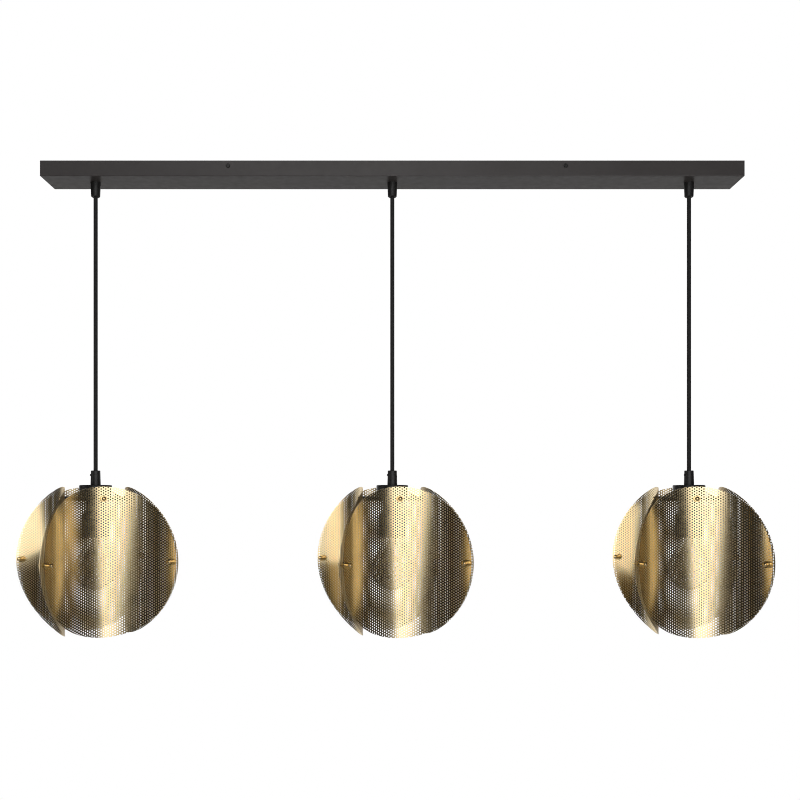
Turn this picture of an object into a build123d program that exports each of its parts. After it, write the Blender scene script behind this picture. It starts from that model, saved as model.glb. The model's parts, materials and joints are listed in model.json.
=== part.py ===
from build123d import *
import os
from math import acos, atan2, cos, degrees, hypot, pi, radians, sin, sqrt

# Linear island pendant: a long canopy tray on a ceiling rail carries three cords, and each cord
# carries a shade of four perforated brass sheets. Each sheet is a flat-cut disc bent about one
# vertical axis with its hollow side outwards, so the four sheets bulge towards the lamp's axis.
# Their side edges meet almost back to back at four cusps, where a bolt joins them over a spacer.
#
# Millimetres. +Z is up and Z = 0 is the ceiling, X runs along the canopy and the front faces -Y.
# The origin is the centre of the ceiling slots. The sheets' holes are finer than this model holds.

# ---------------------------------------------------------------- driving dimensions
# canopy tray
canopy_length = 1000.0
canopy_width = 65.0
canopy_height = 22.0
canopy_wall = 1.2
canopy_edge_radius = 1.0
lamp_spacing = 430.0

# side screws that hold the tray to the rail
tray_screw_left_x = -233.0
tray_screw_right_x = 246.0
tray_screw_drop = 7.4
tray_screw_radius = 2.0
tray_screw_length = 8.0
tray_screw_head_radius = 2.9
tray_screw_head_height = 1.6
tray_screw_head_chamfer = 0.6

# mounting rail
rail_length = 560.0
rail_width = 44.0
rail_wall = 1.5
tab_length = 24.0
tab_height = 13.0
slot_length = 14.0
slot_width = 5.0
outer_slot_spacing = 400.0
inner_slot_spacing = 60.0
cable_hole_radius = 8.0
cable_hole_x = 150.0
cable_hole_y = 10.0

# terminal block and earth screw under the rail
terminal_x = 80.0
terminal_length = 30.0
terminal_width = 20.0
terminal_height = 12.0
terminal_poles = 3
terminal_wire_radius = 1.6
terminal_clamp_depth = 4.0
earth_x = -80.0
earth_screw_radius = 2.0
earth_head_radius = 3.8
earth_head_height = 2.6
earth_washer_radius = 5.0
earth_washer_height = 1.0

# cords
cord_radius = 3.0
cord_length = 396.0
cord_core_radius = 2.4
cord_core_height = 1.2
cord_core_play = 0.7
tail_height = 8.0
tail_bend_radius = 7.0
tail_corner_share = 0.45

# upper cord grips
grip_height = 21.0
grip_top_radius = 7.2
grip_bottom_radius = 6.4
grip_rim_chamfer = 1.2
grip_shank_radius = 5.0
grip_shank_rise = 5.5
grip_nut_radius = 8.0
grip_nut_height = 4.0
grip_screw_radius = 1.5
grip_screw_rise = 0.6
pivot_drop = 1.0

# lower cord grips
lower_grip_height = 21.0
lower_grip_top_radius = 6.6
lower_grip_bottom_radius = 7.2
lower_grip_chamfer = 0.5
lower_grip_seat_depth = 4.0
lower_screw_drop = 6.5
lower_screw_turn = 200.0

# cup and spider
cup_radius = 23.0
cup_height = 15.5
cup_wall = 1.0
cup_edge_chamfer = 1.0
arm_radius = 3.4
hub_radius = 12.0
hub_height = 22.5

# lampholder and bulb
shank_engagement = 7.0
holder_cap_radius = 14.0
holder_skirt_radius = 20.0
holder_shoulder = 14.0
holder_shoulder_slope = 6.0
holder_height = 52.0
socket_radius = 13.7
socket_depth = 28.0
bulb_cap_radius = 13.2
bulb_cap_height = 26.0
bulb_tip_radius = 5.0
bulb_tip_height = 5.0
bulb_radius = 30.0
bulb_neck_radius = 12.8
bulb_neck_height = 8.0
bulb_glass_height = 78.0
bulb_glass_wall = 1.0
hollow_steps = 6

# bent sheets
sheet_radius = 106.5
bend_radius = 107.0
sheet_thickness = 0.7
cusp_gap = 2.55
sheet_top_drop = 2.6
side_hole_inset = 9.0
top_hole_inset = 17.0
outline_points = 16

# cap-headed fasteners of the sheets
fastener_radius = 1.95
hole_radius = 2.2
head_base_radius = 4.0
head_base_height = 4.5
head_cap_radius = 2.9
head_height = 11.5
nut_thread_depth = 4.0
arm_base_height = 3.4
arm_head_height = 5.6
spacer_radius = 5.0
arm_hole_depth = 9.0
arm_screw_length = 12.0

# how far each lamp's front sheet is turned to the right of straight ahead, in degrees
left_turn = 29.2
middle_turn = 13.3
right_turn = -2.6

# clearances
running_clearance = 0.3
thread_clearance = 0.05

# ---------------------------------------------------------------- derived places
tray_floor_z = -canopy_height + canopy_wall
inner_width = canopy_width - 2 * canopy_wall
grip_bottom_z = -canopy_height - grip_height
pivot_z = grip_bottom_z - pivot_drop
lower_grip_top_z = grip_bottom_z - cord_length
cup_top_z = lower_grip_top_z - lower_grip_height
arm_z = cup_top_z - sheet_top_drop - top_hole_inset
hub_bottom_z = cup_top_z - cup_wall - hub_height
sheet_z = cup_top_z - sheet_top_drop - sheet_radius
holder_bottom_z = hub_bottom_z - holder_height
cord_bore_radius = cord_radius + running_clearance
cord_core_reach = cord_core_height / 2 + cord_core_play

# The mid-surfaces are cusp_gap apart where two sheets run parallel, 45 degrees round the bend.
apex_distance = (sqrt(2) - 1) * bend_radius + cusp_gap / sqrt(2)
side_hole_angle = (sheet_radius - side_hole_inset) / bend_radius
side_hole_out = apex_distance + bend_radius * (1 - cos(side_hole_angle))
side_hole_across = bend_radius * sin(side_hole_angle)
cusp_distance = (side_hole_out + side_hole_across) / sqrt(2)
cusp_half_gap = (side_hole_out - side_hole_across) / sqrt(2)

pieces = {}


def rod(start, direction, radius, length):
    """A round rod from a point along a direction."""
    return extrude(Plane(start, z_dir=direction) * Circle(radius), amount=length)


def revolved(points):
    """A solid turned about Z from the radius and height of each corner of half its section."""
    return revolve(Plane.XZ * make_face(Polyline(*points, close=True)), Axis.Z)


def edges_at(solid, axis, place):
    """The edges of a solid that lie across an axis at one place on it."""
    return solid.edges().filter_by_position(axis, place - 0.01, place + 0.01)


# ---------------------------------------------------------------- canopy
def lamp_places():
    return (-lamp_spacing, 0.0, lamp_spacing)


def tray_screw_places():
    """Each side screw's place along the tray, and the side that it enters from."""
    places = []
    for x in (tray_screw_left_x, tray_screw_right_x):
        places.append((x, -1))
        places.append((x, 1))
    return places


def canopy_tray():
    middle = Align.CENTER, Align.CENTER, Align.MAX
    outside = Box(canopy_length, canopy_width, canopy_height, align=middle)
    corners = outside.edges().filter_by(Axis.Z) + edges_at(outside, Axis.Z, -canopy_height)
    outside = fillet(corners, canopy_edge_radius)
    inside = Box(canopy_length - 2 * canopy_wall, inner_width, -tray_floor_z, align=middle)
    tray = outside - inside
    for x in lamp_places():
        hole = grip_shank_radius + thread_clearance
        tray -= rod((x, 0, -canopy_height), (0, 0, 1), hole, canopy_wall)
    for x, side in tray_screw_places():
        wall_y = side * (canopy_width / 2 + 1)
        tray -= rod((x, wall_y, -tray_screw_drop), (0, -side, 0), hole_radius, canopy_wall + 2)
    return tray


def mounting_rail():
    """A strip on the ceiling, with pairs of tabs folded down inside the tray's long walls."""
    top = Align.CENTER, Align.CENTER, Align.MAX
    strip = Box(rail_length, rail_width, rail_wall, align=top)
    tab_span = inner_width - 2 * running_clearance
    for x in (tray_screw_left_x, tray_screw_right_x):
        strip += Pos(x, 0, 0) * Box(tab_length, tab_span, rail_wall, align=top)
        for side in (-1, 1):
            tab_y = side * (tab_span - rail_wall) / 2
            strip += Pos(x, tab_y, 0) * Box(tab_length, rail_wall, tab_height, align=top)
    for spacing in (outer_slot_spacing, inner_slot_spacing):
        for side in (-1, 1):
            slot = Pos(side * spacing / 2, 0, 0) * SlotOverall(slot_length, slot_width)
            strip -= extrude(slot, amount=-rail_wall)
    strip -= rod((cable_hole_x, cable_hole_y, 0), (0, 0, -1), cable_hole_radius, rail_wall)
    strip -= rod((earth_x, 0, 0), (0, 0, -1), earth_screw_radius + thread_clearance, rail_wall)
    for x, side in tray_screw_places():
        thread = tray_screw_radius + thread_clearance
        start = (x, side * inner_width / 2, -tray_screw_drop)
        strip -= rod(start, (0, -side, 0), thread, 2 * rail_wall + running_clearance)
    return strip


def tray_screws():
    """Four dark screws with low round heads, two on the front wall and two on the back wall."""
    screws = []
    for x, side in tray_screw_places():
        head_y = side * canopy_width / 2
        head = rod((x, head_y, -tray_screw_drop), (0, side, 0), tray_screw_head_radius,
                   tray_screw_head_height)
        head = chamfer(edges_at(head, Axis.Y, head_y + side * tray_screw_head_height),
                       tray_screw_head_chamfer)
        shank = rod((x, head_y, -tray_screw_drop), (0, -side, 0), tray_screw_radius,
                    tray_screw_length)
        screws.append(head + shank)
    return screws


def terminal_block():
    """A moulded block under the rail, with a wire tunnel for each pole."""
    middle = Align.CENTER, Align.CENTER, Align.MAX
    block = Pos(terminal_x, 0, -rail_wall) * Box(terminal_length, terminal_width, terminal_height,
                                                 align=middle)
    pitch = terminal_width / terminal_poles
    for pole in range(terminal_poles):
        y = (pole - (terminal_poles - 1) / 2) * pitch
        start = (terminal_x - terminal_length / 2, y, -rail_wall - terminal_height / 2)
        block -= rod(start, (1, 0, 0), terminal_wire_radius, terminal_length)
        clamp = (terminal_x, y, -rail_wall - terminal_height)
        block -= rod(clamp, (0, 0, 1), terminal_wire_radius, terminal_clamp_depth)
    return block


def earth_screw():
    """A screw with its washer, threaded up into the rail."""
    washer = rod((earth_x, 0, -rail_wall), (0, 0, -1), earth_washer_radius, earth_washer_height)
    head_z = -rail_wall - earth_washer_height
    head = rod((earth_x, 0, head_z), (0, 0, -1), earth_head_radius, earth_head_height)
    shank = rod((earth_x, 0, head_z), (0, 0, 1), earth_screw_radius, rail_wall + earth_washer_height)
    return washer + head + shank


# ---------------------------------------------------------------- cords and upper grips
def upper_grip(x):
    """A tapered grip under the tray, with a threaded shank that passes up through its floor."""
    bore = cord_bore_radius
    body = revolved([
        (bore, -canopy_height),
        (grip_top_radius, -canopy_height),
        (grip_bottom_radius, grip_bottom_z),
        (bore, grip_bottom_z),
    ])
    rim = edges_at(body, Axis.Z, grip_bottom_z).sort_by(SortBy.LENGTH)[-1]
    body = chamfer(rim, grip_rim_chamfer)
    shank_top = tray_floor_z + grip_shank_rise
    shank = revolved([
        (bore, -canopy_height),
        (grip_shank_radius, -canopy_height),
        (grip_shank_radius, shank_top),
        (bore, shank_top),
    ])
    grip = body + shank
    screw_z = (grip_bottom_z - canopy_height) / 2
    thread = grip_screw_radius + thread_clearance
    grip -= rod((0, 0, screw_z), (0, 1, 0), thread, 2 * grip_top_radius)
    return Pos(x, 0, 0) * grip


def grip_nuts():
    """A hexagonal lock nut on each grip's shank, on the tray's floor."""
    nuts = []
    for x in lamp_places():
        floor = Pos(x, 0, tray_floor_z)
        nut = extrude(floor * RegularPolygon(grip_nut_radius, 6), amount=grip_nut_height)
        bore = grip_shank_radius + thread_clearance
        nut -= rod((x, 0, tray_floor_z), (0, 0, 1), bore, grip_nut_height)
        nuts.append(nut)
    return nuts


def grip_screws():
    """A set screw at the back of each upper grip, which clamps the cord."""
    screws = []
    screw_z = (grip_bottom_z - canopy_height) / 2
    length = grip_top_radius + grip_screw_rise - cord_radius
    for x in lamp_places():
        screws.append(rod((x, cord_radius, screw_z), (0, 1, 0), grip_screw_radius, length))
    return screws


def tail(x, route):
    """The end of a cord, fixed in its grip and led over the tray's floor to the terminal block."""
    start_z = pivot_z + cord_core_reach
    points = [(x, 0, start_z), (x, 0, -tail_height)]
    for along, across in route:
        points.append((along, across, -tail_height))
    radii = [tail_bend_radius]
    for before, corner, after in zip(points[1:], points[2:], points[3:]):
        run_in = Vector(corner) - Vector(before)
        run_out = Vector(after) - Vector(corner)
        half_turn = radians(run_in.get_angle(run_out)) / 2
        room = tail_corner_share * min(run_in.length, run_out.length)
        radii.append(room * cos(half_turn) / sin(half_turn))
    path = FilletPolyline(*points, radius=radii)
    lead = sweep(Plane(points[0], z_dir=(0, 0, 1)) * Circle(cord_radius), path=path)
    section = pi * cord_radius ** 2
    print(f"tail at {x:.0f}: length {path.length:.0f}, least bend {min(radii):.0f},",
          f"volume over section by length {lead.volume / section / path.length:.4f}")
    return lead


def cord_tails():
    left_end = terminal_x - terminal_length / 2 - 2 * running_clearance
    right_end = terminal_x + terminal_length / 2 + 2 * running_clearance
    left = [(-380, 3), (-310, 8), (-235, 12), (-160, 15), (-85, 16), (-15, 14), (35, 8), (left_end, 6)]
    middle = [(20, -2), (42, -6), (left_end, -6.5)]
    right = [(380, -3), (310, -6), (235, -7), (165, -6), (130, -3), (right_end, 0)]
    return [
        tail(-lamp_spacing, left),
        tail(0.0, middle),
        tail(lamp_spacing, right),
    ]


def cord_bend(x):
    """The core of the cord's flexing length at the grip's mouth, between two crossed hinges."""
    return Pos(x, 0, pivot_z) * Cylinder(cord_core_radius, cord_core_height)


def cord(x):
    """The straight free cord, from below the bend down to its seat in the lower grip."""
    top = pivot_z - cord_core_reach
    bottom = lower_grip_top_z - lower_grip_seat_depth
    return rod((x, 0, top), (0, 0, -1), cord_radius, top - bottom)


# ---------------------------------------------------------------- lower grip, cup, spider
def lower_grip(x):
    """A tapered grip that seats the cord's end; its shank holds cup, spider and lampholder."""
    shank_bottom = hub_bottom_z - shank_engagement
    grip = revolved([
        (0, lower_grip_top_z),
        (lower_grip_top_radius, lower_grip_top_z),
        (lower_grip_bottom_radius, cup_top_z),
        (grip_shank_radius, cup_top_z),
        (grip_shank_radius, shank_bottom),
        (0, shank_bottom),
    ])
    grip = chamfer(edges_at(grip, Axis.Z, lower_grip_top_z), lower_grip_chamfer)
    grip -= rod((0, 0, lower_grip_top_z), (0, 0, -1), cord_bore_radius, lower_grip_seat_depth)
    grip -= lower_screw_rod(grip_screw_radius + thread_clearance, lower_grip_bottom_radius)
    return Pos(x, 0, 0) * grip


def lower_screw_rod(radius, length):
    """A rod along the lower set screw's axis, from the cord's surface outwards."""
    across = Vector(cos(radians(lower_screw_turn)), sin(radians(lower_screw_turn)), 0)
    start = across * cord_radius + Vector(0, 0, lower_grip_top_z - lower_screw_drop)
    return rod(start, across, radius, length)


def lower_grip_screw(x):
    """A set screw at the side of the lower grip."""
    length = lower_grip_bottom_radius + grip_screw_rise - cord_radius
    return Pos(x, 0, 0) * lower_screw_rod(grip_screw_radius, length)


def cup(x):
    """A drawn cup over the spider's hub, closed at the top and open below."""
    top = Align.CENTER, Align.CENTER, Align.MAX
    outside = Cylinder(cup_radius, cup_height, align=top)
    outside = chamfer(edges_at(outside, Axis.Z, 0), cup_edge_chamfer)
    inside = Pos(0, 0, -cup_wall) * Cylinder(cup_radius - cup_wall, cup_height, align=top)
    hole = Cylinder(grip_shank_radius + thread_clearance, cup_wall, align=top)
    return Pos(x, 0, cup_top_z) * (outside - inside - hole)


def spider(x, turn):
    """A hub under the cup with four round arms, each ending against the back of a sheet."""
    top = Align.CENTER, Align.CENTER, Align.MAX
    body = Pos(0, 0, cup_top_z - cup_wall) * Cylinder(hub_radius, hub_height, align=top)
    arm_end = apex_distance - sheet_thickness / 2
    for k in range(4):
        out = sheet_normal(turn + 90 * k)
        body += rod((0, 0, arm_z), out, arm_radius, arm_end)
    body -= rod((0, 0, cup_top_z), (0, 0, -1), grip_shank_radius + thread_clearance, 2 * hub_height)
    for k in range(4):
        out = sheet_normal(turn + 90 * k)
        start = out * (arm_end - arm_hole_depth) + Vector(0, 0, arm_z)
        body -= rod(start, out, fastener_radius + thread_clearance, arm_hole_depth)
    return Pos(x, 0, 0) * body


# ---------------------------------------------------------------- lampholder and bulb
def lampholder(x):
    """A moulded holder: a narrow cap on the shank, a shoulder and a skirt round the socket."""
    top = hub_bottom_z
    shoulder = top - holder_shoulder
    body = revolved([
        (0, top),
        (holder_cap_radius, top),
        (holder_cap_radius, shoulder),
        (holder_skirt_radius, shoulder - holder_shoulder_slope),
        (holder_skirt_radius, holder_bottom_z),
        (0, holder_bottom_z),
    ])
    shank = grip_shank_radius + thread_clearance
    body -= rod((0, 0, top), (0, 0, -1), shank, shank_engagement)
    body -= rod((0, 0, holder_bottom_z), (0, 0, 1), socket_radius, socket_depth)
    return Pos(x, 0, 0) * body


def bulb_cap(x):
    """The bulb's screw cap, with its contact tip just under the socket's end."""
    top = holder_bottom_z + socket_depth - running_clearance
    cap = revolved([
        (0, top),
        (bulb_tip_radius, top),
        (bulb_cap_radius, top - bulb_tip_height),
        (bulb_cap_radius, top - bulb_cap_height),
        (0, top - bulb_cap_height),
    ])
    return Pos(x, 0, 0) * cap


def glass_top():
    """The height of the glass's neck, where it meets the screw cap."""
    return holder_bottom_z + socket_depth - running_clearance - bulb_cap_height


def bulb_outside():
    """A pear shape: a straight neck, a cone that leaves it, and a round end that the cone meets."""
    top = glass_top()
    centre = top - bulb_glass_height + bulb_radius
    neck_end = top - bulb_neck_height
    rise = neck_end - centre
    meets = atan2(rise, bulb_neck_radius) - acos(bulb_radius / hypot(bulb_neck_radius, rise))
    middle = (meets - pi / 2) / 2
    start = (bulb_radius * cos(meets), centre + bulb_radius * sin(meets))
    halfway = (bulb_radius * cos(middle), centre + bulb_radius * sin(middle))
    bottom = (0, centre - bulb_radius)
    side = Polyline((0, top), (bulb_neck_radius, top), (bulb_neck_radius, neck_end), start)
    end = ThreePointArc(start, halfway, bottom)
    axis = Line(bottom, (0, top))
    return revolve(Plane.XZ * make_face([side, end, axis]), Axis.Z)


def bulb_inside():
    """The hollow of the bulb in straight tapers, no nearer the outside than the wall."""
    top = glass_top()
    centre = top - bulb_glass_height + bulb_radius
    neck_radius = bulb_neck_radius - bulb_glass_wall
    round_radius = bulb_radius - bulb_glass_wall
    corners = [(0, top), (neck_radius, top), (neck_radius, top - bulb_neck_height)]
    for step in range(-hollow_steps // 3, hollow_steps):
        angle = pi / 2 * step / hollow_steps
        corners.append((round_radius * cos(angle), centre - round_radius * sin(angle)))
    corners.append((0, centre - round_radius))
    return revolved(corners)


def bulb_glass(x):
    """The bulb's thin envelope, open only at the neck, where the cap closes it."""
    return Pos(x, 0, 0) * (bulb_outside() - bulb_inside())


# ---------------------------------------------------------------- shade
def sheet_normal(turn):
    """The level direction in which a sheet's middle faces, away from the lamp's axis."""
    return Vector(sin(radians(turn)), -cos(radians(turn)), 0)


def turned(solid, turn, x):
    """A piece drawn for the lamp on the origin with its front sheet facing -Y, set in its place."""
    return Pos(x, 0, 0) * Rot(0, 0, turn) * solid


def bend_cylinder(turn, radius):
    """A solid round the bend axis of one sheet, a little taller than the sheet."""
    centre = sheet_normal(turn) * (apex_distance + bend_radius)
    return Pos(centre.X, centre.Y, sheet_z) * Cylinder(radius, 2.2 * sheet_radius)


def side_bolt_axis():
    """The bolt's direction through the cusp between the front sheet and the next one."""
    return (sheet_normal(0) - sheet_normal(90)).normalized()


def cusp_point():
    """The middle of the gap at the side holes, on the diagonal between two sheets."""
    diagonal = (sheet_normal(0) + sheet_normal(90)).normalized()
    return diagonal * cusp_distance + Vector(0, 0, sheet_z)


def bent_sheet():
    """The front sheet: a flat disc wrapped on the bend cylinder, with its fixing holes."""
    skin_radius = bend_radius - sheet_thickness / 2
    outline = []
    for point in range(outline_points):
        angle = 2 * pi * point / outline_points
        wrapped = sheet_radius * cos(angle) / bend_radius
        outline.append((skin_radius * sin(wrapped), sheet_radius * sin(angle)))
    disc = make_face(Spline(outline, periodic=True))
    through = extrude(Plane.XZ * disc, amount=-2 * bend_radius)
    round_face = Cylinder(skin_radius, 2.2 * sheet_radius).faces().filter_by(GeomType.CYLINDER)[0]
    skin = (round_face & through).faces()[0]
    sheet = Solid.thicken(skin, sheet_thickness)
    flat_volume = pi * sheet_radius ** 2 * sheet_thickness
    print(f"sheet: volume over flat disc {sheet.volume / flat_volume:.4f}")
    centre = sheet_normal(0) * (apex_distance + bend_radius)
    sheet = Pos(centre.X, centre.Y, sheet_z) * sheet
    bolt = side_bolt_axis()
    mirrored_bolt = Vector(-bolt.X, bolt.Y, 0)
    for middle, way in ((cusp_point(), bolt), (mirrored(cusp_point()), mirrored_bolt)):
        sheet -= rod(middle - way * head_height, way, hole_radius, 2 * head_height)
    sheet -= rod((0, 0, arm_z), (0, -1, 0), hole_radius, 2 * apex_distance)
    return sheet


def mirrored(point):
    return Vector(-point.X, point.Y, point.Z)


def capped_head(start, way, base_height, height):
    """A round base with a narrower cap on it."""
    base = rod(start, way, head_base_radius, base_height)
    cap = rod(start, way, head_cap_radius, height)
    return base + cap


def arm_screws():
    """Four screws with low capped heads, each through the top of a sheet into an arm."""
    screws = []
    skin = sheet_thickness / 2
    for k in range(4):
        out = sheet_normal(90 * k)
        middle = out * apex_distance + Vector(0, 0, arm_z)
        head = capped_head(middle, out, arm_base_height + skin, arm_head_height + skin)
        head = head & bend_cylinder(90 * k, bend_radius - skin)
        start = middle + out * (skin + arm_base_height)
        shank = rod(start, out * -1, fastener_radius, arm_screw_length)
        screws.append(head + shank)
    return screws


def cusp_bolts():
    """At each cusp a headed bolt through both sheets, and a cap nut on its other end."""
    bolts = []
    way = side_bolt_axis()
    middle = cusp_point()
    hollow = bend_radius - sheet_thickness / 2
    seat = cusp_half_gap + sheet_thickness
    base = head_base_height + seat
    height = head_height + seat
    head = capped_head(middle, way, base, height) & bend_cylinder(0, hollow)
    nut = capped_head(middle, way * -1, base, height) & bend_cylinder(90, hollow)
    start = middle - way * (seat + nut_thread_depth)
    shank = rod(start, way, fastener_radius, 2 * (seat + nut_thread_depth))
    thread = rod(start, way, fastener_radius + thread_clearance, seat + nut_thread_depth)
    for k in range(4):
        spun = Rot(0, 0, 90 * k)
        bolts.append(spun * (head + shank))
        bolts.append(spun * (nut - thread))
    return bolts


def cusp_spacers():
    """At each cusp a short barrel between the sheets, its ends cut to the sheets' slopes."""
    way = side_bolt_axis()
    middle = cusp_point()
    reach = 3 * cusp_half_gap
    barrel = rod(middle - way * reach, way, spacer_radius, 2 * reach)
    barrel -= rod(middle - way * reach, way, fastener_radius + thread_clearance, 2 * reach)
    for turn in (0, 90):
        barrel -= bend_cylinder(turn, bend_radius + sheet_thickness / 2)
    return [Rot(0, 0, 90 * k) * barrel for k in range(4)]


def lamp(side, x, turn):
    """Every piece of one lamp below its upper grip."""
    pieces[f"{side}_top_grip"] = upper_grip(x)
    pieces[f"{side}_cord_bend"] = cord_bend(x)
    pieces[f"{side}_cord"] = cord(x)
    pieces[f"{side}_lower_grip"] = lower_grip(x)
    pieces[f"{side}_lower_grip_screw"] = lower_grip_screw(x)
    pieces[f"{side}_cup"] = cup(x)
    pieces[f"{side}_spider"] = spider(x, turn)
    pieces[f"{side}_lampholder"] = lampholder(x)
    pieces[f"{side}_bulb_cap"] = bulb_cap(x)
    pieces[f"{side}_bulb_glass"] = bulb_glass(x)
    for k, name in enumerate(("front", "right", "back", "left")):
        pieces[f"{side}_sheet_{name}"] = turned(front_sheet, turn + 90 * k, x)
    pieces[f"{side}_arm_screws"] = [turned(screw, turn, x) for screw in arm_screws()]
    pieces[f"{side}_cusp_bolts"] = [turned(bolt, turn, x) for bolt in cusp_bolts()]
    pieces[f"{side}_cusp_spacers"] = [turned(spacer, turn, x) for spacer in cusp_spacers()]


# ---------------------------------------------------------------- assembly
pieces["canopy_tray"] = canopy_tray()
pieces["mounting_rail"] = mounting_rail()
pieces["tray_screws"] = tray_screws()
pieces["terminal_block"] = terminal_block()
pieces["earth_screw"] = earth_screw()
pieces["top_grip_nuts"] = grip_nuts()
pieces["top_grip_screws"] = grip_screws()
pieces["cord_tails"] = cord_tails()

front_sheet = bent_sheet()
lamp("left", -lamp_spacing, left_turn)
lamp("middle", 0.0, middle_turn)
lamp("right", lamp_spacing, right_turn)

os.makedirs("parts", exist_ok=True)
for name, piece in pieces.items():
    shape = Compound(children=piece) if isinstance(piece, list) else piece
    export_step(shape, f"parts/{name}.step")
print(f"{len(pieces)} nodes, apex distance {apex_distance:.2f}, cusp bolt at {cusp_distance:.2f},",
      f"half gap there {cusp_half_gap:.2f}, side hole at {degrees(side_hole_angle):.1f} degrees")
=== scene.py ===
import json
import math

import bpy
import numpy as np
from mathutils import Matrix, Vector


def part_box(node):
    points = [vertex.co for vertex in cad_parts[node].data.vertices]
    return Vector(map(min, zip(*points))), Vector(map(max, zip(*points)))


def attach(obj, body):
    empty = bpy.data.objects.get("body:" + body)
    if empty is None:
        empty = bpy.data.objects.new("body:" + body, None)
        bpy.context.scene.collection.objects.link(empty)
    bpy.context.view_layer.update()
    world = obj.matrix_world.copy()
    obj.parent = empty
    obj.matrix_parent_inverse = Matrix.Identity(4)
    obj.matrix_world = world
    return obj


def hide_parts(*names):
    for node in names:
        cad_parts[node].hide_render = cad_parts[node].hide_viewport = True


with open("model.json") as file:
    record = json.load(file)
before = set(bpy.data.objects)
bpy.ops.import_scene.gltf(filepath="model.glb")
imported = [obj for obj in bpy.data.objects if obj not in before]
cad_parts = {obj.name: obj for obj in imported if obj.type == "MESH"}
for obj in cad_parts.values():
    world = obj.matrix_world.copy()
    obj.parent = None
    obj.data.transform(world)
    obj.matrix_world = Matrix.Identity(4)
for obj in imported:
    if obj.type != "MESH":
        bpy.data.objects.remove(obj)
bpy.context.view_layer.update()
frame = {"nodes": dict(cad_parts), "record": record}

# Metres and degrees. The lamps hang from a ceiling canopy along X, and the front faces -Y.

# ---------------------------------------------------------------- sizes of the part
SIDES = ("left", "middle", "right")
TURNS = {"left": 29.2, "middle": 13.3, "right": -2.6}
SHEETS = ("front", "right", "back", "left")
SHEET_STEP = 90

SHEET_RADIUS = 0.1065
BEND_RADIUS = 0.107
SHEET_THICKNESS = 0.0007
# what each disc's edge is drawn in by, so that it stays within the solids
SHEET_TRIM = 0.00003
CUSP_GAP = 0.00255
SIDE_HOLE_INSET = 0.009
TOP_HOLE_INSET = 0.017
FIXING_HOLE_RADIUS = 0.0022
APEX_DISTANCE = (math.sqrt(2) - 1) * BEND_RADIUS + CUSP_GAP / math.sqrt(2)
SIDE_HOLE_ANGLE = (SHEET_RADIUS - SIDE_HOLE_INSET) / BEND_RADIUS

# hexagonal perforation, with each hole's nearest neighbours straight above and below it
PERFORATION_PITCH = 0.00375
PERFORATION_RADIUS = 0.0011
PERFORATION_SIDES = 12
# points that fall on the same step of this grid become one
WELD_STEPS_PER_METRE = 1e7
# how far past a side's ends, as a share of it, a crossing still counts
CROSSING_TOLERANCE = 1e-9

# caps of the arm screws and cusp bolts, measured from the sheet that they bear on
CAP_RADIUS = 0.0032
CAP_BASE_RADIUS = 0.0046
CAP_DOME = 0.0022
CAP_DOME_STEPS = 8
CAP_BEDDING = 0.0012
CAP_EDGE = 0.0004
CAP_NECK_START = 0.0003
ARM_CAP_BASE_HEIGHT = 0.0028
ARM_CAP_HEIGHT = 0.0055
CUSP_CAP_BASE_HEIGHT = 0.0034
CUSP_CAP_HEIGHT = 0.0085
BOLT_RADIUS = 0.00195

# inside each bulb, with heights from the top of its glass
STEM_OUTLINE = ((0.0055, -0.001), (0.0045, -0.014), (0.002, -0.024), (0.0011, -0.054))
STEM_EDGE = 0.003
FILAMENT_COUNT = 4
FILAMENT_FIRST = 45
FILAMENT_RADIUS = 0.0008
FILAMENT_LENGTH = 0.032
FILAMENT_EDGE = 0.0003
FILAMENT_FOOT_RADIUS = 0.0115
FILAMENT_FOOT_HEIGHT = -0.056
FILAMENT_LEAN = 0.22

CORD_RADIUS = 0.003
# how far the cord's end is inside its upper grip
CORD_TUCK = 0.0015
WEAVE_LEAN = 35

# steps round a lathed piece, and how near its axis its outline ends
STEM_STEPS = 48
CAP_STEPS = 32
BOLT_STEPS = 24
FILAMENT_STEPS = 16
ROUNDING_STEPS = 4
AXIS_RADIUS = 0.00001

# edges that turn by more degrees than this are sharp
SHARP_ANGLE = 40
CAP_SHARP_ANGLE = 35

# the photograph's camera
IMAGE_SIZE = 800
FOCAL_PIXELS = 1040
SENSOR_WIDTH = 36
BAR_FRONT_DISTANCE = 1.475
CAMERA_HEIGHT = -0.473
BAR_MIDDLE_PIXEL = 392.3
HORIZON_PIXEL = 494

# each softbox: its place, what it is aimed at, its width and height, and its brightness
SOFTBOXES = {
    "front_softbox": ((0.175, -1.36, -0.31), (-0.525, -0.03, -0.31), 1.53, 0.98, 1.3),
    "upper_softbox": ((0.185, -1.38, -0.2), (-0.515, -0.05, -0.2), 1.53, 0.84, 0.4),
    "canopy_softbox": ((-0.36, -1.7, 0.55), (-0.16, 0, 0), 1.2, 0.5, 1.3),
}

# the narrow panel beside each lamp: its offset from the ceiling above, turned with the lamp
PANEL_OFFSET = (-0.2, -0.042, -0.525)
PANEL_WIDTH = 0.115
PANEL_HEIGHT = 0.17
PANEL_BRIGHTNESS = {"left": 1.7, "middle": 1.2, "right": 1.2}

# the white backdrop in reflections: the parts of a direction over which it fades in
BACKDROP_BEHIND = (0.5, 0.85)
BACKDROP_ABOVE = (-0.4, -0.1)
BACKDROP_DIM = 0.02
DIFFUSE_LEVEL = 0.35

FLOOR_HALF_SIZE = 8
FLOOR_Z = -4

# the stretch of a noise texture's values over which a colour or roughness changes
NOISE_LOW = 0.3
NOISE_HIGH = 0.7


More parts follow.
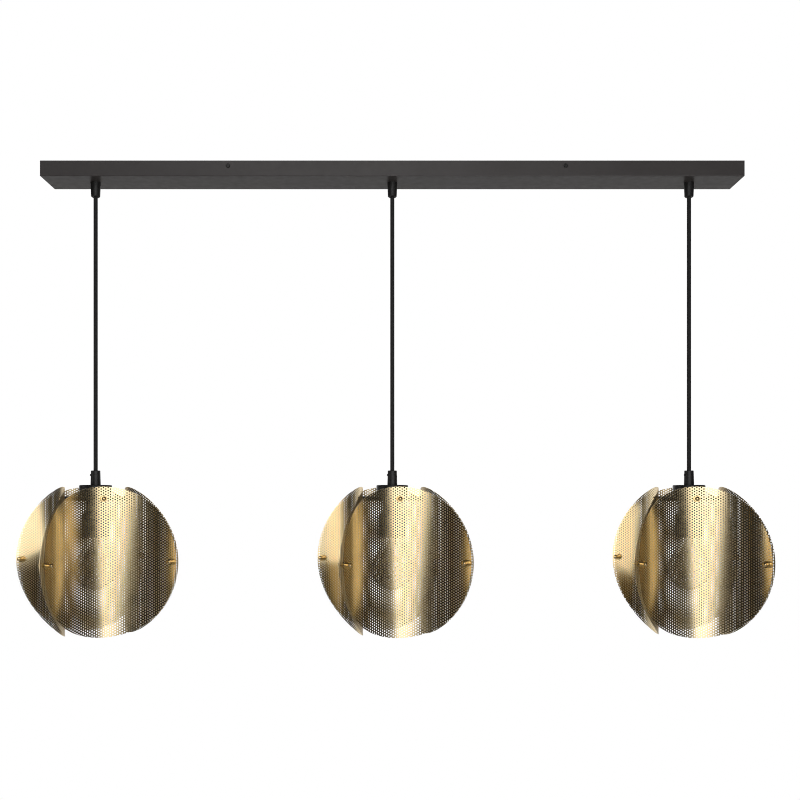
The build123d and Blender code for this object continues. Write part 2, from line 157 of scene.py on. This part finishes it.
# ---------------------------------------------------------------- camera
def make_camera():
    """Level camera, so uprights stay upright; the photograph's horizon lies below its middle."""
    data = bpy.data.cameras.new("camera")
    camera = bpy.data.objects.new("camera", data)
    bpy.context.scene.collection.objects.link(camera)
    data.sensor_width = SENSOR_WIDTH
    data.lens = FOCAL_PIXELS / IMAGE_SIZE * SENSOR_WIDTH
    data.clip_start = 0.05
    data.clip_end = 50
    data.shift_x = (IMAGE_SIZE / 2 - BAR_MIDDLE_PIXEL) / IMAGE_SIZE
    data.shift_y = (HORIZON_PIXEL - IMAGE_SIZE / 2) / IMAGE_SIZE
    bar_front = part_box("canopy_tray")[0][1]
    camera.location = (0, bar_front - BAR_FRONT_DISTANCE, CAMERA_HEIGHT)
    camera.rotation_euler = (math.radians(90), 0, 0)
    bpy.context.scene.camera = camera


# ---------------------------------------------------------------- materials
def new_material(name, colour, roughness, metallic=0.0):
    material = bpy.data.materials.new(name)
    material.use_nodes = True
    shader = material.node_tree.nodes["Principled BSDF"]
    shader.inputs["Base Color"].default_value = (*colour, 1)
    shader.inputs["Roughness"].default_value = roughness
    shader.inputs["Metallic"].default_value = metallic
    return material, material.node_tree, shader


def noise(tree, scale, detail, stretch=(1, 1, 1)):
    """A noise texture on the object's metres; a stretch under 1 draws it out along that axis."""
    place = tree.nodes.new("ShaderNodeTexCoord")
    mapping = tree.nodes.new("ShaderNodeMapping")
    mapping.inputs["Scale"].default_value = stretch
    texture = tree.nodes.new("ShaderNodeTexNoise")
    texture.inputs["Scale"].default_value = scale
    texture.inputs["Detail"].default_value = detail
    tree.links.new(place.outputs["Object"], mapping.inputs["Vector"])
    tree.links.new(mapping.outputs["Vector"], texture.inputs["Vector"])
    return texture.outputs["Fac"]


def map_range(tree, value, start, end, low, high):
    """Goes from low to high as the value goes from start to end."""
    span = tree.nodes.new("ShaderNodeMapRange")
    span.inputs["From Min"].default_value = start
    span.inputs["From Max"].default_value = end
    span.inputs["To Min"].default_value = low
    span.inputs["To Max"].default_value = high
    tree.links.new(value, span.inputs["Value"])
    return span.outputs["Result"]


def combine(tree, operation, first, second):
    """The result of a math node on two values."""
    node = tree.nodes.new("ShaderNodeMath")
    node.operation = operation
    tree.links.new(first, node.inputs[0])
    tree.links.new(second, node.inputs[1])
    return node.outputs["Value"]


def vary_colour(tree, shader, factor, dark, light):
    ramp = tree.nodes.new("ShaderNodeValToRGB")
    ramp.color_ramp.elements[0].color = (*dark, 1)
    ramp.color_ramp.elements[0].position = NOISE_LOW
    ramp.color_ramp.elements[1].color = (*light, 1)
    ramp.color_ramp.elements[1].position = NOISE_HIGH
    tree.links.new(factor, ramp.inputs["Fac"])
    tree.links.new(ramp.outputs["Color"], shader.inputs["Base Color"])


def vary_roughness(tree, shader, factor, low, high):
    result = map_range(tree, factor, NOISE_LOW, NOISE_HIGH, low, high)
    tree.links.new(result, shader.inputs["Roughness"])


def add_bump(tree, shader, height, strength, distance):
    bump = tree.nodes.new("ShaderNodeBump")
    bump.inputs["Strength"].default_value = strength
    bump.inputs["Distance"].default_value = distance
    tree.links.new(height, bump.inputs["Height"])
    tree.links.new(bump.outputs["Normal"], shader.inputs["Normal"])


def sheet_brass():
    """Satin brass sheet, with faint upright rolling marks and slight clouding."""
    material, tree, shader = new_material("sheet_brass", (0.88, 0.71, 0.42), 0.22, metallic=1.0)
    vary_colour(tree, shader, noise(tree, scale=22, detail=4), (0.86, 0.69, 0.40), (0.90, 0.73, 0.44))
    vary_roughness(tree, shader, noise(tree, scale=60, detail=5), 0.18, 0.24)
    marks = noise(tree, scale=900, detail=2, stretch=(1, 1, 0.05))
    add_bump(tree, shader, marks, strength=0.04, distance=0.0002)
    return material


def shaded_inner_brass():
    """The sheets' faces towards the bulb, rolled but not polished, so duller; their darker colour is
    painted shade inside the shade.
    """
    material, tree, shader = new_material("shaded_inner_brass", (0.5, 0.39, 0.22), 0.3, metallic=1.0)
    vary_colour(tree, shader, noise(tree, scale=22, detail=4), (0.47, 0.36, 0.20), (0.53, 0.42, 0.24))
    vary_roughness(tree, shader, noise(tree, scale=60, detail=5), 0.27, 0.34)
    return material


def turned_brass():
    """Polished turned brass of the cap screws."""
    material, tree, shader = new_material("turned_brass", (0.82, 0.62, 0.32), 0.18, metallic=1.0)
    vary_colour(tree, shader, noise(tree, scale=300, detail=3), (0.78, 0.58, 0.28), (0.86, 0.66, 0.36))
    vary_roughness(tree, shader, noise(tree, scale=700, detail=3), 0.14, 0.22)
    return material


def canopy_paint():
    """Dark brown-grey satin powder coat with a fine grain."""
    material, tree, shader = new_material("canopy_paint", (0.052, 0.046, 0.045), 0.42)
    vary_colour(tree, shader, noise(tree, scale=14, detail=4), (0.048, 0.042, 0.041), (0.056, 0.050, 0.049))
    vary_roughness(tree, shader, noise(tree, scale=90, detail=3), 0.38, 0.46)
    add_bump(tree, shader, noise(tree, scale=2600, detail=2), strength=0.12, distance=0.0001)
    return material


def black_paint():
    material, tree, shader = new_material("black_paint", (0.012, 0.011, 0.011), 0.38)
    vary_roughness(tree, shader, noise(tree, scale=220, detail=3), 0.33, 0.43)
    add_bump(tree, shader, noise(tree, scale=3000, detail=2), strength=0.1, distance=0.0001)
    return material


def black_plastic():
    material, tree, shader = new_material("black_plastic", (0.014, 0.013, 0.013), 0.45)
    vary_roughness(tree, shader, noise(tree, scale=400, detail=3), 0.4, 0.5)
    add_bump(tree, shader, noise(tree, scale=4200, detail=2), strength=0.15, distance=0.0001)
    return material


def cord_jacket():
    """Black woven jacket: two crossed sets of fine ridges round the cord."""
    material, tree, shader = new_material("cord_jacket", (0.012, 0.012, 0.012), 0.7)
    place = tree.nodes.new("ShaderNodeTexCoord")
    ridges = []
    for lean in (1, -1):
        mapping = tree.nodes.new("ShaderNodeMapping")
        mapping.inputs["Rotation"].default_value = (0, math.radians(WEAVE_LEAN * lean), 0)
        wave = tree.nodes.new("ShaderNodeTexWave")
        wave.bands_direction = "Z"
        wave.inputs["Scale"].default_value = 420
        wave.inputs["Distortion"].default_value = 0.4
        tree.links.new(place.outputs["Object"], mapping.inputs["Vector"])
        tree.links.new(mapping.outputs["Vector"], wave.inputs["Vector"])
        ridges.append(wave.outputs["Fac"])
    weave = combine(tree, "MULTIPLY", *ridges)
    vary_colour(tree, shader, weave, (0.007, 0.007, 0.007), (0.02, 0.02, 0.02))
    add_bump(tree, shader, weave, strength=0.5, distance=0.0004)
    shader.inputs["Sheen Weight"].default_value = 0.15
    return material


def zinc_steel():
    material, tree, shader = new_material("zinc_steel", (0.6, 0.6, 0.6), 0.35, metallic=1.0)
    vary_colour(tree, shader, noise(tree, scale=120, detail=5), (0.52, 0.53, 0.54), (0.68, 0.67, 0.64))
    vary_roughness(tree, shader, noise(tree, scale=240, detail=3), 0.28, 0.45)
    return material


def terminal_plastic():
    material, tree, shader = new_material("terminal_plastic", (0.72, 0.71, 0.66), 0.5)
    vary_colour(tree, shader, noise(tree, scale=80, detail=3), (0.70, 0.69, 0.64), (0.75, 0.74, 0.70))
    shader.inputs["Subsurface Weight"].default_value = 0.1
    shader.inputs["Subsurface Radius"].default_value = (0.002, 0.002, 0.0015)
    return material


def clear_glass():
    """Clear bulb glass, a little wavy, with a faint warm tint."""
    material, tree, shader = new_material("clear_glass", (0.97, 0.95, 0.91), 0.0)
    vary_colour(tree, shader, noise(tree, scale=30, detail=3), (0.96, 0.94, 0.9), (0.98, 0.96, 0.92))
    shader.inputs["Transmission Weight"].default_value = 1.0
    shader.inputs["IOR"].default_value = 1.45
    add_bump(tree, shader, noise(tree, scale=60, detail=2), strength=0.05, distance=0.001)
    return material


def filament_coating():
    """Yellow phosphor on the filaments of a bulb that is off."""
    material, tree, shader = new_material("filament_coating", (0.8, 0.62, 0.2), 0.6)
    vary_colour(tree, shader, noise(tree, scale=500, detail=3), (0.76, 0.56, 0.15), (0.84, 0.68, 0.25))
    shader.inputs["Subsurface Weight"].default_value = 0.2
    shader.inputs["Subsurface Radius"].default_value = (0.001, 0.001, 0.0005)
    return material


def bulb_metal():
    material, tree, shader = new_material("bulb_metal", (0.72, 0.72, 0.72), 0.3, metallic=1.0)
    vary_roughness(tree, shader, noise(tree, scale=400, detail=3), 0.22, 0.38)
    return material


def dress(thing, material):
    """Puts a material on an object, which for a CAD node leaves its mesh as it is."""
    if not thing.material_slots:
        thing.data.materials.append(material)
        return
    for slot in thing.material_slots:
        slot.link = "OBJECT"
        slot.material = material


# ---------------------------------------------------------------- mesh helpers
def new_mesh_object(name, points, faces, smooth_angle, slots=None):
    """An object from an (n, 3) array of points and a list of (m, k) arrays of faces.

    The slots, where given, are the material slot of each array of faces.
    """
    mesh = bpy.data.meshes.new(name)
    sizes = np.concatenate([np.full(len(block), block.shape[1]) for block in faces])
    corners = np.concatenate([block.ravel() for block in faces])
    mesh.vertices.add(len(points))
    mesh.vertices.foreach_set("co", np.asarray(points, dtype=np.float32).ravel())
    mesh.loops.add(len(corners))
    mesh.loops.foreach_set("vertex_index", corners.astype(np.int32))
    mesh.polygons.add(len(sizes))
    starts = np.concatenate([[0], np.cumsum(sizes)[:-1]])
    mesh.polygons.foreach_set("loop_start", starts.astype(np.int32))
    mesh.polygons.foreach_set("use_smooth", np.ones(len(sizes), dtype=bool))
    if slots:
        chosen = np.concatenate([np.full(len(block), slot) for block, slot in zip(faces, slots)])
        mesh.polygons.foreach_set("material_index", chosen.astype(np.int32))
    mesh.update(calc_edges=True)
    mesh.validate()
    mesh.set_sharp_from_angle(angle=math.radians(smooth_angle))
    thing = bpy.data.objects.new(name, mesh)
    bpy.context.scene.collection.objects.link(thing)
    return thing


def lathe(profile, steps):
    """Points and faces of a profile of (radius, height) turned about Z."""
    angles = np.linspace(0, 2 * math.pi, steps, endpoint=False)
    profile = np.array(profile)
    rings = [np.column_stack([r * np.cos(angles), r * np.sin(angles), np.full(steps, h)])
             for r, h in profile]
    points = np.concatenate(rings)
    along = np.arange(len(profile) - 1)[:, None] * steps
    here = np.arange(steps)[None, :]
    after = (here + 1) % steps
    quads = np.stack([along + here, along + after, along + steps + after, along + steps + here],
                     axis=-1).reshape(-1, 4)
    return points, quads


def rounded(corners, radius):
    """A profile whose inner corners are rounded by arcs of about the radius."""
    corners = [Vector(c) for c in corners]
    line = [corners[0]]
    for before, corner, after in zip(corners, corners[1:], corners[2:]):
        back = before - corner
        on = after - corner
        reach = min(radius, back.length / 2, on.length / 2)
        start = corner + back.normalized() * reach
        end = corner + on.normalized() * reach
        for step in range(ROUNDING_STEPS + 1):
            t = step / ROUNDING_STEPS
            line.append(start * (1 - t) ** 2 + corner * 2 * t * (1 - t) + end * t ** 2)
    line.append(corners[-1])
    return [(p.x, p.y) for p in line]


def aim(place, way):
    """The matrix that sets a lathed piece's foot at a place with its axis along a direction."""
    turn = Vector(way).to_track_quat("Z", "Y").to_matrix().to_4x4()
    return Matrix.Translation(Vector(place)) @ turn


def moved(points, matrix):
    matrix = np.array(matrix)
    return points @ matrix[:3, :3].T + matrix[:3, 3]


def joined(parts):
    """One set of points and faces from several."""
    all_points = []
    all_faces = []
    offset = 0
    for points, faces in parts:
        all_points.append(points)
        all_faces.append(faces + offset)
        offset += len(points)
    return np.concatenate(all_points), np.concatenate(all_faces)


def middle_of(node):
    low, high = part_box(node)
    return (Vector(low) + Vector(high)) / 2


def sheet_turn(side, number):
    """How far a sheet is turned about its lamp's cord, in degrees from facing the front."""
    return TURNS[side] + SHEET_STEP * number


# ---------------------------------------------------------------- cords
def make_cord(side, jacket):
    """The cord hangs straight, from inside its upper grip to its seat in the lower grip."""
    x = middle_of(f"{side}_cord").x
    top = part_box(f"{side}_top_grip")[0][2] + CORD_TUCK
    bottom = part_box(f"{side}_cord")[0][2]
    route = [(x, 0, top), (x, 0, (top + bottom) / 2), (x, 0, bottom)]
    curve = bpy.data.curves.new(f"{side}_cord_line", "CURVE")
    curve.dimensions = "3D"
    spline = curve.splines.new("NURBS")
    spline.points.add(len(route) - 1)
    for point, place in zip(spline.points, route):
        point.co = (*place, 1)
    spline.order_u = 3
    spline.use_endpoint_u = True
    curve.bevel_depth = CORD_RADIUS
    curve.bevel_resolution = 6
    curve.use_fill_caps = True
    cord = bpy.data.objects.new(f"{side}_cord_line", curve)
    bpy.context.scene.collection.objects.link(cord)
    cord.data.materials.append(jacket)
    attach(cord, f"{side}_cord")
    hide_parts(f"{side}_cord")


# ---------------------------------------------------------------- perforated sheets
def cell_pattern():
    """One hexagonal cell round its hole, as triangles on (across, up)."""
    corner_reach = PERFORATION_PITCH / math.sqrt(3)
    corners = [(corner_reach * math.cos(math.radians(60 * j)),
                corner_reach * math.sin(math.radians(60 * j))) for j in range(6)]
    step = 360 / PERFORATION_SIDES
    rim = [(PERFORATION_RADIUS * math.cos(math.radians(step * k)),
            PERFORATION_RADIUS * math.sin(math.radians(step * k))) for k in range(PERFORATION_SIDES)]
    share = PERFORATION_SIDES // 6
    triangles = []
    for j in range(6):
        here = corners[j]
        after = corners[(j + 1) % 6]
        first = j * share
        half = first + share // 2
        last = first + share
        for k in range(first, half):
            triangles.append((here, rim[(k + 1) % PERFORATION_SIDES], rim[k]))
        triangles.append((here, after, rim[half % PERFORATION_SIDES]))
        for k in range(half, last):
            triangles.append((after, rim[(k + 1) % PERFORATION_SIDES], rim[k % PERFORATION_SIDES]))
    return np.array(triangles)


def cut_by_circle(polygon, centre, radius, keep_inside):
    """A small polygon cut by a circle, with each crossing on the circle itself."""
    sign = 1 if keep_inside else -1

    def kept(point):
        across, up = point[0] - centre[0], point[1] - centre[1]
        return sign * (radius ** 2 - across ** 2 - up ** 2) >= 0

    result = []
    for start, end in zip(polygon, polygon[1:] + polygon[:1]):
        if kept(start):
            result.append(start)
        if kept(start) != kept(end):
            result.append(crossing(start, end, centre, radius))
    return result


def crossing(start, end, centre, radius):
    """Where the side from start to end meets the circle, by the quadratic formula."""
    away = (start[0] - centre[0], start[1] - centre[1])
    along = (end[0] - start[0], end[1] - start[1])
    a = along[0] ** 2 + along[1] ** 2
    b = away[0] * along[0] + away[1] * along[1]
    c = away[0] ** 2 + away[1] ** 2 - radius ** 2
    root = math.sqrt(max(b * b - a * c, 0))
    for t in ((-b - root) / a, (-b + root) / a):
        if -CROSSING_TOLERANCE <= t <= 1 + CROSSING_TOLERANCE:
            return start[0] + along[0] * t, start[1] + along[1] * t
    raise ValueError("the side doesn't meet the circle")


def cell_centres():
    """Centres of every cell that may reach the disc, with every second column half a pitch up."""
    column = PERFORATION_PITCH * math.sqrt(3) / 2
    columns = int(SHEET_RADIUS / column) + 2
    rows = int(SHEET_RADIUS / PERFORATION_PITCH) + 2
    across, up = np.meshgrid(np.arange(-columns, columns + 1), np.arange(-rows, rows + 1))
    return np.column_stack([
        across.ravel() * column,
        (up.ravel() + 0.5 * (across.ravel() % 2)) * PERFORATION_PITCH,
    ])


def fixing_places():
    """The three fixing holes: one at the top for the arm screw, one at each side for a bolt."""
    side_reach = SHEET_RADIUS - SIDE_HOLE_INSET
    return [(0, SHEET_RADIUS - TOP_HOLE_INSET), (-side_reach, 0), (side_reach, 0)]


def cut_polygon(triangle, fixings):
    """What the disc's edge and the fixing holes leave of a triangle."""
    polygon = cut_by_circle([tuple(point) for point in triangle], (0, 0),
                            SHEET_RADIUS - SHEET_TRIM, True)
    for fixing in fixings:
        if len(polygon) > 2:
            polygon = cut_by_circle(polygon, fixing, FIXING_HOLE_RADIUS, False)
    return polygon


def flat_disc():
    """The perforated disc before it is bent: points on (across, up), and its faces by size."""
    reach = PERFORATION_PITCH / math.sqrt(3)
    centres = cell_centres()
    fixings = fixing_places()
    distance = np.hypot(centres[:, 0], centres[:, 1])
    near_fixing = np.zeros(len(centres), dtype=bool)
    for fixing in fixings:
        gap = np.hypot(centres[:, 0] - fixing[0], centres[:, 1] - fixing[1])
        near_fixing |= gap < FIXING_HOLE_RADIUS + reach
    whole = (distance + reach < SHEET_RADIUS - SHEET_TRIM) & ~near_fixing
    partial = (distance - reach < SHEET_RADIUS) & ~whole
    pattern = cell_pattern()
    triangles = (centres[whole][:, None, None, :] + pattern[None]).reshape(-1, 3, 2)
    polygons = {3: [triangles]}
    for centre in centres[partial]:
        for triangle in pattern + centre:
            polygon = cut_polygon(triangle, fixings)
            if len(polygon) > 2:
                polygons.setdefault(len(polygon), []).append(np.array([polygon]))
    return welded([np.concatenate(polygons[size]) for size in sorted(polygons)])


def welded(blocks):
    """Points and faces of blocks of loose polygons, without the faces that shrink to a line."""
    loose = np.concatenate([block.reshape(-1, 2) for block in blocks])
    keys = np.round(loose * WELD_STEPS_PER_METRE).astype(np.int64)
    _, first, index = np.unique(keys, axis=0, return_index=True, return_inverse=True)
    index = index.ravel()
    faces = []
    start = 0
    for block in blocks:
        count = block.shape[0] * block.shape[1]
        face = index[start:start + count].reshape(block.shape[:2])
        start += count
        closed = np.sort(face, axis=1)
        faces.append(face[(np.diff(closed, axis=1) > 0).all(axis=1)])
    return loose[first], faces


def open_edges(faces, count):
    """Edges that only one face uses, in that face's direction."""
    starts = np.concatenate([face.ravel() for face in faces])
    ends = np.concatenate([np.roll(face, -1, axis=1).ravel() for face in faces])
    forward = starts.astype(np.int64) * count + ends
    backward = ends.astype(np.int64) * count + starts
    alone = ~np.isin(forward, backward)
    return starts[alone], ends[alone]


def bent(flat, offset, turn):
    """Flat points wrapped on the bend, moved away from its axis by an offset."""
    normal = np.array([math.sin(turn), -math.cos(turn)])
    tangent = np.array([math.cos(turn), math.sin(turn)])
    angle = flat[:, 0] / BEND_RADIUS
    radius = BEND_RADIUS + offset
    out = APEX_DISTANCE + BEND_RADIUS - radius * np.cos(angle)
    level = out[:, None] * normal + (radius * np.sin(angle))[:, None] * tangent
    return np.column_stack([level, flat[:, 1]])


def make_sheets(brass, darker_inner):
    """Four bent sheets a lamp, polished on the hollow side that faces outwards; the faces towards the bulb
    take the darker brass, which is painted shade.
    """
    flat, faces = flat_disc()
    count = len(flat)
    starts, ends = open_edges(faces, count)
    walls = np.column_stack([starts, starts + count, ends + count, ends])
    back = [face[:, ::-1] + count for face in faces]
    slots = [0] * len(faces) + [1] * len(back) + [0]
    for side in SIDES:
        lamp_x = middle_of(f"{side}_cord").x
        for number, name in enumerate(SHEETS):
            node = f"{side}_sheet_{name}"
            turn = math.radians(sheet_turn(side, number))
            hollow = bent(flat, -SHEET_THICKNESS / 2, turn)
            bulge = bent(flat, SHEET_THICKNESS / 2, turn)
            points = np.concatenate([hollow, bulge]) + np.array([lamp_x, 0, middle_of(node).z])
            sheet = new_mesh_object(f"{side}_perforated_{name}", points, [*faces, *back, walls],
                                    SHARP_ANGLE, slots)
            sheet.data.materials.append(brass)
            # the faces towards the bulb take a darker copy of the brass: painted shade
            sheet.data.materials.append(darker_inner)
            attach(sheet, f"{side}_shade")
            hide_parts(node)


# ---------------------------------------------------------------- turned pieces
def sheet_normal(side, number):
    """The level direction in which a sheet's hollow side faces."""
    turn = math.radians(sheet_turn(side, number))
    return Vector((math.sin(turn), -math.cos(turn), 0))


def cap_profile(base_height, height):
    """A round base with a softened edge, and a narrower cap with a domed end."""
    base = rounded([(CAP_BASE_RADIUS, -CAP_BEDDING), (CAP_BASE_RADIUS, base_height),
                    (CAP_RADIUS, base_height)], CAP_EDGE)
    dome_foot = height - CAP_DOME
    neck = [(CAP_RADIUS, base_height + CAP_NECK_START), (CAP_RADIUS, dome_foot)]
    dome = []
    for step in range(1, CAP_DOME_STEPS):
        angle = math.pi / 2 * step / CAP_DOME_STEPS
        dome.append((CAP_RADIUS * math.cos(angle), dome_foot + CAP_DOME * math.sin(angle)))
    return base + neck + dome + [(AXIS_RADIUS, height)]


def make_arm_caps(side, brass):
    """The caps of the screws at the tops of a lamp's sheets."""
    lamp_x = middle_of(f"{side}_cord").x
    sheet_z = middle_of(f"{side}_sheet_front").z
    points, faces = lathe(cap_profile(ARM_CAP_BASE_HEIGHT, ARM_CAP_HEIGHT), CAP_STEPS)
    parts = []
    for number in range(len(SHEETS)):
        out = sheet_normal(side, number)
        seat = out * (APEX_DISTANCE + SHEET_THICKNESS / 2)
        place = seat + Vector((lamp_x, 0, sheet_z + SHEET_RADIUS - TOP_HOLE_INSET))
        parts.append((moved(points, aim(place, out)), faces))
    add_caps(f"{side}_arm_caps", parts, brass, side, f"{side}_arm_screws")


def make_cusp_caps(side, brass):
    """The bolts that join a lamp's sheets at the cusps, with a cap on each end."""
    lamp_x = middle_of(f"{side}_cord").x
    sheet_z = middle_of(f"{side}_sheet_front").z
    out_reach = APEX_DISTANCE + BEND_RADIUS * (1 - math.cos(SIDE_HOLE_ANGLE))
    across_reach = BEND_RADIUS * math.sin(SIDE_HOLE_ANGLE)
    half_gap = (out_reach - across_reach) / math.sqrt(2)
    cap, cap_faces = lathe(cap_profile(CUSP_CAP_BASE_HEIGHT, CUSP_CAP_HEIGHT), CAP_STEPS)
    shank, shank_faces = lathe([(BOLT_RADIUS, -half_gap), (BOLT_RADIUS, half_gap)], BOLT_STEPS)
    parts = []
    for number in range(len(SHEETS)):
        here = sheet_normal(side, number)
        after = sheet_normal(side, number + 1)
        middle = (here + after).normalized() * (out_reach + across_reach) / math.sqrt(2)
        middle += Vector((lamp_x, 0, sheet_z))
        bolt = (here - after).normalized()
        for way in (bolt, -bolt):
            place = middle + way * (half_gap + SHEET_THICKNESS)
            parts.append((moved(cap, aim(place, way)), cap_faces))
        parts.append((moved(shank, aim(middle, bolt)), shank_faces))
    add_caps(f"{side}_cusp_caps", parts, brass, side, f"{side}_cusp_bolts")


def add_caps(name, parts, brass, side, node):
    points, faces = joined(parts)
    caps = new_mesh_object(name, points, [faces], CAP_SHARP_ANGLE)
    dress(caps, brass)
    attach(caps, f"{side}_shade")
    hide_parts(node)


# ---------------------------------------------------------------- inside the bulbs
def make_filaments(side, coating, glass):
    """A glass stem from the bulb's neck, with filament rods round it that lean in at the top."""
    low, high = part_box(f"{side}_bulb_glass")
    axis = Vector(((low[0] + high[0]) / 2, (low[1] + high[1]) / 2, high[2]))
    stem_end = (AXIS_RADIUS, STEM_OUTLINE[-1][1])
    points, faces = lathe(rounded([*STEM_OUTLINE, stem_end], STEM_EDGE), STEM_STEPS)
    stem = new_mesh_object(f"{side}_filament_stem", points + np.array(axis), [faces], SHARP_ANGLE)
    dress(stem, glass)
    outline = [(AXIS_RADIUS, 0), (FILAMENT_RADIUS, 0), (FILAMENT_RADIUS, FILAMENT_LENGTH),
               (AXIS_RADIUS, FILAMENT_LENGTH)]
    rod, rod_faces = lathe(rounded(outline, FILAMENT_EDGE), FILAMENT_STEPS)
    rods = []
    for number in range(FILAMENT_COUNT):
        angle = math.radians(FILAMENT_FIRST + 360 / FILAMENT_COUNT * number)
        out = Vector((math.cos(angle), math.sin(angle), 0))
        foot = axis + out * FILAMENT_FOOT_RADIUS + Vector((0, 0, FILAMENT_FOOT_HEIGHT))
        rods.append((moved(rod, aim(foot, Vector((0, 0, 1)) - out * FILAMENT_LEAN)), rod_faces))
    points, faces = joined(rods)
    filaments = new_mesh_object(f"{side}_filaments", points, [faces], SHARP_ANGLE)
    dress(filaments, coating)
    for thing in (stem, filaments):
        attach(thing, f"{side}_bulb")


# ---------------------------------------------------------------- light and background
def make_world():
    """White to the camera, and level for diffuse surfaces.

    Reflections and glass see white only behind the object and not far below it, dim elsewhere.
    """
    world = bpy.data.worlds.new("studio")
    bpy.context.scene.world = world
    world.use_nodes = True
    tree = world.node_tree
    tree.nodes.clear()
    output = tree.nodes.new("ShaderNodeOutputWorld")
    place = tree.nodes.new("ShaderNodeTexCoord")
    axes = tree.nodes.new("ShaderNodeSeparateXYZ")
    tree.links.new(place.outputs["Generated"], axes.inputs["Vector"])
    behind = map_range(tree, axes.outputs["Y"], *BACKDROP_BEHIND, BACKDROP_DIM, 1.0)
    above = map_range(tree, axes.outputs["Z"], *BACKDROP_ABOVE, BACKDROP_DIM, 1.0)
    backdrop = combine(tree, "MULTIPLY", behind, above)
    seen = tree.nodes.new("ShaderNodeLightPath")
    shiny = combine(tree, "MAXIMUM", seen.outputs["Is Glossy Ray"], seen.outputs["Is Transmission Ray"])
    mirrored = tree.nodes.new("ShaderNodeMix")
    mirrored.inputs["A"].default_value = DIFFUSE_LEVEL
    tree.links.new(shiny, mirrored.inputs["Factor"])
    tree.links.new(backdrop, mirrored.inputs["B"])
    direct = tree.nodes.new("ShaderNodeMix")
    direct.inputs["B"].default_value = 1.0
    tree.links.new(seen.outputs["Is Camera Ray"], direct.inputs["Factor"])
    tree.links.new(mirrored.outputs["Result"], direct.inputs["A"])
    background = tree.nodes.new("ShaderNodeBackground")
    background.inputs["Color"].default_value = (1, 1, 1, 1)
    tree.links.new(direct.outputs["Result"], background.inputs["Strength"])
    tree.links.new(background.outputs["Background"], output.inputs["Surface"])


def softbox(name, place, target, width, height, brightness):
    """An even area light of a given radiance, aimed at a point."""
    data = bpy.data.lights.new(name, "AREA")
    data.shape = "RECTANGLE"
    data.size = width
    data.size_y = height
    data.energy = brightness * width * height * math.pi
    lamp = bpy.data.objects.new(name, data)
    lamp.visible_camera = False
    bpy.context.scene.collection.objects.link(lamp)
    lamp.location = place
    lamp.rotation_euler = (Vector(target) - Vector(place)).to_track_quat("-Z", "Z").to_euler()


def make_lights():
    """Two softboxes before the lamps, one for the canopy, and a narrow panel left of each lamp."""
    for name, settings in SOFTBOXES.items():
        softbox(name, *settings)
    for side in SIDES:
        lamp_x = middle_of(f"{side}_cord").x
        swing = Matrix.Rotation(math.radians(TURNS[side] - TURNS["middle"]), 3, "Z")
        place = Vector((lamp_x, 0, 0)) + swing @ Vector(PANEL_OFFSET)
        softbox(f"{side}_panel", place, place + swing @ Vector((1, 0, 0)), PANEL_WIDTH,
                PANEL_HEIGHT, PANEL_BRIGHTNESS[side])


def make_floor():
    """A pale floor far below, white where the camera sees it."""
    mesh = bpy.data.meshes.new("floor")
    size = FLOOR_HALF_SIZE
    mesh.from_pydata([(-size, -size, 0), (size, -size, 0), (size, size, 0), (-size, size, 0)], [],
                     [(0, 1, 2, 3)])
    floor = bpy.data.objects.new("floor", mesh)
    bpy.context.scene.collection.objects.link(floor)
    floor.location.z = FLOOR_Z
    material = bpy.data.materials.new("floor")
    material.use_nodes = True
    tree = material.node_tree
    shader = tree.nodes["Principled BSDF"]
    shader.inputs["Base Color"].default_value = (0.62, 0.6, 0.57, 1)
    shader.inputs["Roughness"].default_value = 0.8
    glow = tree.nodes.new("ShaderNodeEmission")
    glow.inputs["Color"].default_value = (1, 1, 1, 1)
    glow.inputs["Strength"].default_value = 1.0
    seen = tree.nodes.new("ShaderNodeLightPath")
    mix = tree.nodes.new("ShaderNodeMixShader")
    tree.links.new(seen.outputs["Is Camera Ray"], mix.inputs["Fac"])
    tree.links.new(shader.outputs["BSDF"], mix.inputs[1])
    tree.links.new(glow.outputs["Emission"], mix.inputs[2])
    tree.links.new(mix.outputs["Shader"], tree.nodes["Material Output"].inputs["Surface"])
    floor.data.materials.append(material)


# ---------------------------------------------------------------- the scene
bpy.context.scene.view_settings.view_transform = "Standard"
# a narrow pixel filter keeps the holes sharp
bpy.context.scene.cycles.filter_width = 1.0
make_camera()

jacket = cord_jacket()
for side in SIDES:
    make_cord(side, jacket)

brass_sheet = sheet_brass()
brass_turned = turned_brass()
finishes = {
    "canopy_paint": canopy_paint(),
    "zinc_steel": zinc_steel(),
    "black_steel": black_paint(),
    "black_plastic": black_plastic(),
    "terminal_plastic": terminal_plastic(),
    "cord": jacket,
    "brass_sheet": brass_sheet,
    "brass": brass_turned,
    "bulb_metal": bulb_metal(),
    "bulb_glass": clear_glass(),
}
for subpart in frame["record"]["subparts"]:
    dress(frame["nodes"][subpart["node"]], finishes[subpart["material_slot"]])

# the second material is a darker copy of the brass for the faces towards the bulb, painted shade
make_sheets(brass_sheet, shaded_inner_brass())
coating = filament_coating()
for side in SIDES:
    make_arm_caps(side, brass_turned)
    make_cusp_caps(side, brass_turned)
    make_filaments(side, coating, finishes["bulb_glass"])

make_world()
make_lights()
make_floor()
